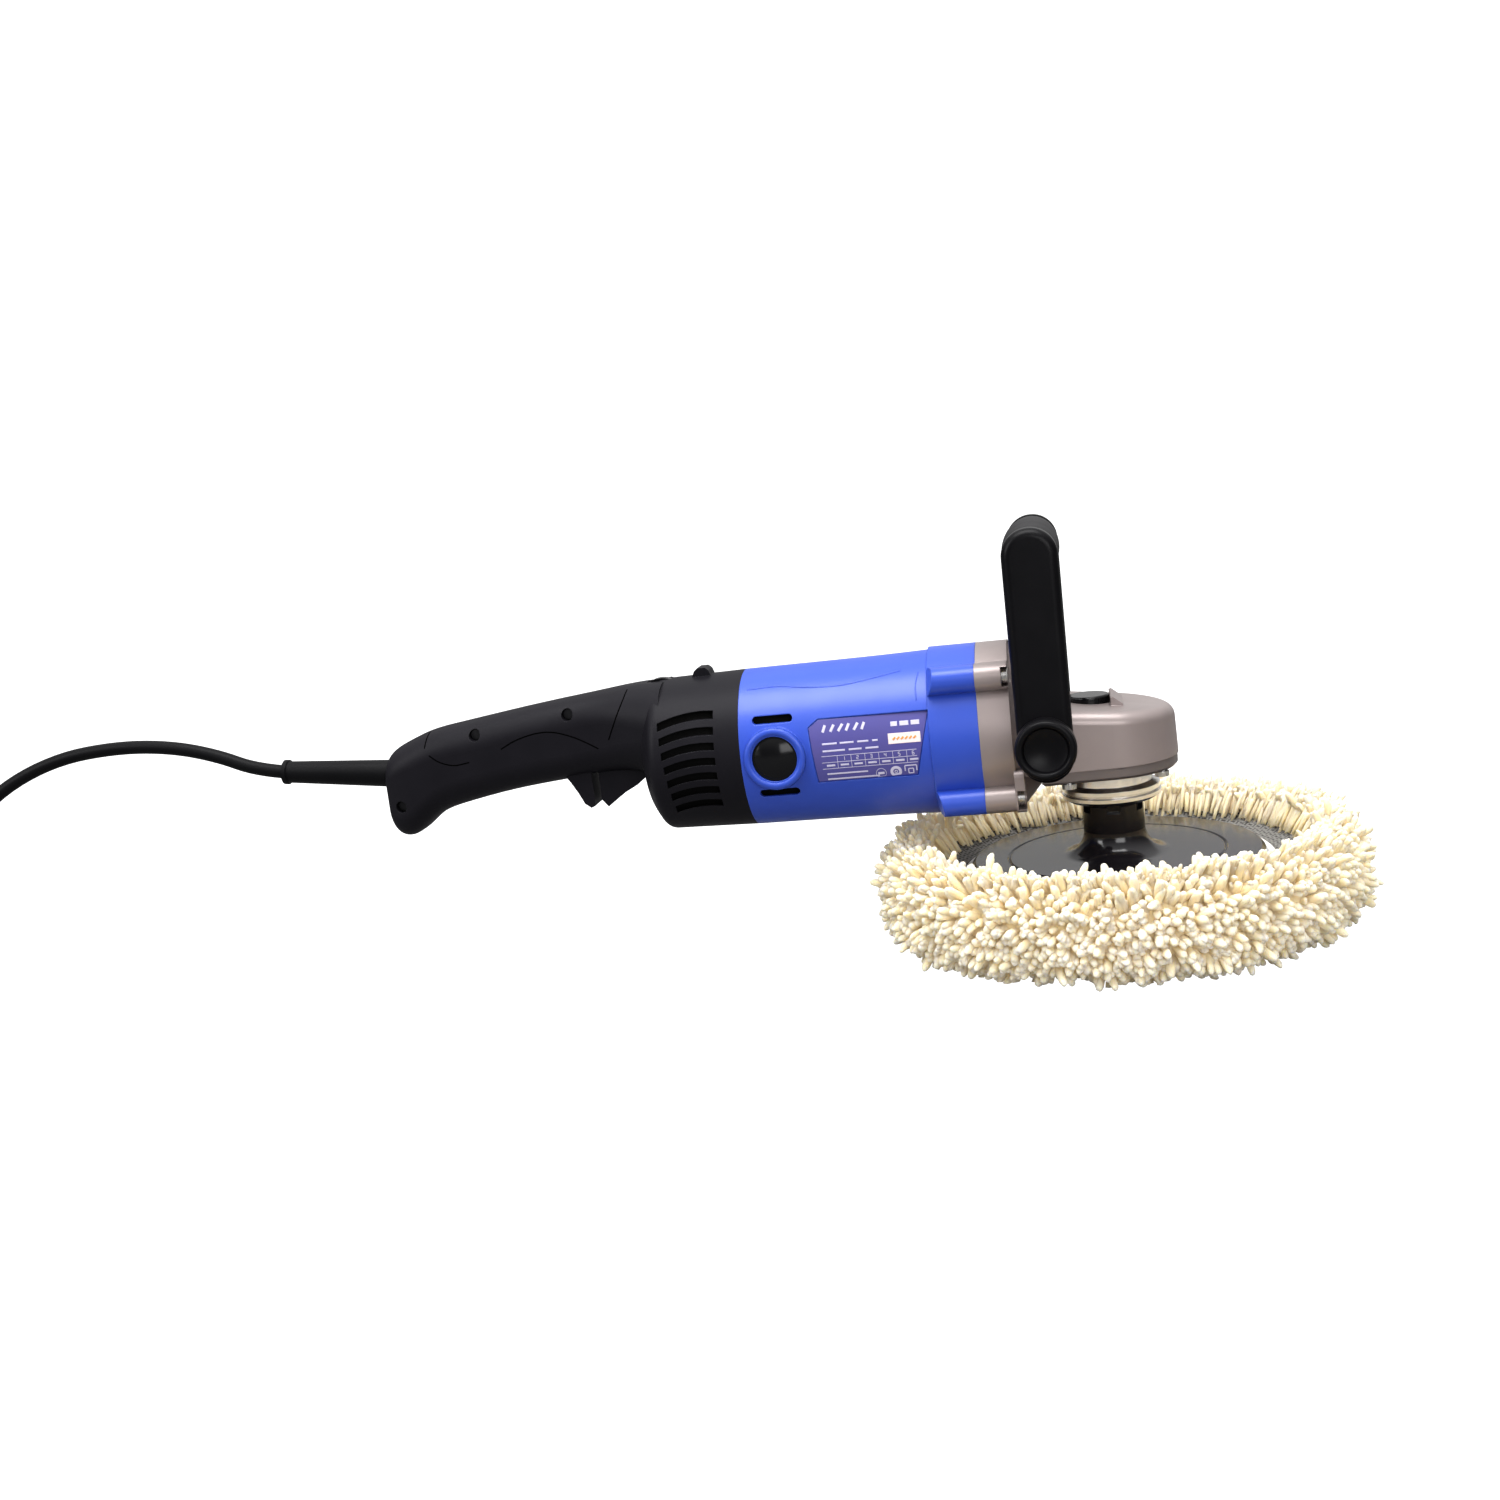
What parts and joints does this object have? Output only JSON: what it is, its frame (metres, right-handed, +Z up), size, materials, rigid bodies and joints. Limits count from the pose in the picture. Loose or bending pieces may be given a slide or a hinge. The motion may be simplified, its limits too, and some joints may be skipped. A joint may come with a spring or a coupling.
{
  "type": "rotary polisher",
  "caption": "Mains rotary polisher: bevel gear head over a wool pad, barrel motor housing, rear trigger handle, tilting loop handle and coiled cord.",
  "frame": {"origin": "on the spindle's axis at the wool pad's working face", "axes": "+Z up along the spindle, +X from the rear handle to the nose"},
  "size_m": [0.9969, 0.2773, 0.2238],
  "materials": {
    "cast_housing": "satin champagne-grey paint on die-cast aluminium",
    "turned_aluminium": "bright, fine turning lines",
    "steel": "plain machined steel",
    "core_steel": "stacked sheets",
    "bronze": "plain",
    "copper": "enamelled copper wire",
    "carbon": "pressed carbon",
    "felt": "felt",
    "housing_blue": "satin moulded nylon",
    "label": "printed film",
    "black_plastic": "fine-textured moulded nylon",
    "grip_rubber": "satin",
    "plate_gloss": "glossy",
    "board": "varnished circuit board",
    "hook": "hook tape",
    "woven_backing": "coarse woven mesh",
    "wool": "twisted wool pile",
    "cord_rubber": "smooth rubber",
    "plug_metal": "nickel-plated"
  },
  "bodies": {
    "root": {"gear_housing": "cast_housing", "gear_cover": "cast_housing", "spindle_collar": "turned_aluminium", "dust_seal": "felt", "spindle_bearing": "steel", "spindle_bush": "bronze", "front_bearing": "steel", "bearing_plate": "steel", "flange_screws": "steel", "cover_screws": "steel", "motor_housing": "housing_blue", "rating_plate": "label", "stator_core": "core_steel", "field_coils": "copper", "brush_holders": "bronze", "carbon_brushes": "carbon", "brush_springs": "steel", "brush_cap_right": "black_plastic", "brush_cap_left": "black_plastic", "fan_baffle": "black_plastic", "rear_bearing": "steel", "handle_shell_left": "black_plastic", "handle_shell_right": "black_plastic", "handle_screws": "steel", "trigger_pin": "steel", "trigger_spring": "steel", "switch_body": "black_plastic", "dial_pin": "steel", "control_board": "board", "cord_clamp": "steel", "lock_spring": "steel", "cord_guard": "cord_rubber", "cord": "cord_rubber", "cord_tail": "cord_rubber", "cord_coil": "cord_rubber", "cord_tie": "black_plastic", "plug_body": "cord_rubber", "plug_pins": "plug_metal"},
    "spindle": {"spindle": "steel", "crown_gear": "steel", "gear_clip": "steel", "backing_plate": "plate_gloss", "hub_insert": "steel", "hook_disc": "hook", "pad_backing": "woven_backing", "wool_pad": "wool"},
    "armature": {"armature_shaft": "steel", "armature_core": "core_steel", "armature_windings": "copper", "commutator": "copper", "cooling_fan": "black_plastic", "pinion": "steel"},
    "trigger": {"trigger": "black_plastic"},
    "lock_on_button": {"lock_on_button": "black_plastic"},
    "speed_dial": {"speed_dial": "black_plastic"},
    "spindle_lock": {"spindle_lock_button": "black_plastic"},
    "loop_handle": {"loop_handle": "black_plastic", "loop_grip": "grip_rubber"},
    "knob_right": {"knob_right": "black_plastic"},
    "knob_left": {"knob_left": "black_plastic"}
  },
  "joints": [
    {"name": "spindle_spin", "type": "hinge", "parent": "root", "child": "spindle", "pos_m": [0, 0, 0], "axis": [0, 0, 1], "continuous": true},
    {"name": "armature_spin", "type": "hinge", "parent": "root", "child": "armature", "pos_m": [-0.13, 0, 0.1135], "axis": [1, 0, 0], "continuous": true},
    {"name": "trigger_pull", "type": "hinge", "parent": "root", "child": "trigger", "pos_m": [-0.2595, 0, 0.11], "axis": [0, 1, 0], "range_deg": [0, 8], "stiffness_Nm_per_rad": 1.2, "springref_deg": -6.88, "deforming": ["trigger_spring"]},
    {"name": "lock_on_press", "type": "slide", "parent": "root", "child": "lock_on_button", "axis": [0, -1, 0], "range_m": [0, 0.0015], "stiffness_N_per_m": 600, "springref_m": -0.001},
    {"name": "speed_turn", "type": "hinge", "parent": "root", "child": "speed_dial", "pos_m": [-0.243, 0, 0.1442], "axis": [0, 1, 0], "range_deg": [0, 270]},
    {"name": "spindle_lock_press", "type": "slide", "parent": "root", "child": "spindle_lock", "axis": [0, 0, -1], "range_m": [0, 0.004], "stiffness_N_per_m": 900, "springref_m": -0.002, "deforming": ["lock_spring"]},
    {"name": "loop_handle_tilt", "type": "hinge", "parent": "root", "child": "loop_handle", "pos_m": [-0.032, 0, 0.111], "axis": [0, 1, 0], "range_deg": [-30, 60]},
    {"name": "knob_right_turn", "type": "hinge", "parent": "root", "child": "knob_right", "pos_m": [-0.032, -0.06, 0.111], "axis": [0, 1, 0], "range_deg": [-180, 180]},
    {"name": "knob_left_turn", "type": "hinge", "parent": "root", "child": "knob_left", "pos_m": [-0.032, 0.06, 0.111], "axis": [0, 1, 0], "range_deg": [-180, 180]}
  ],
  "couplings": [
    {"joint": "armature_spin", "follows": "spindle_spin", "ratio": -4.1}
  ]
}
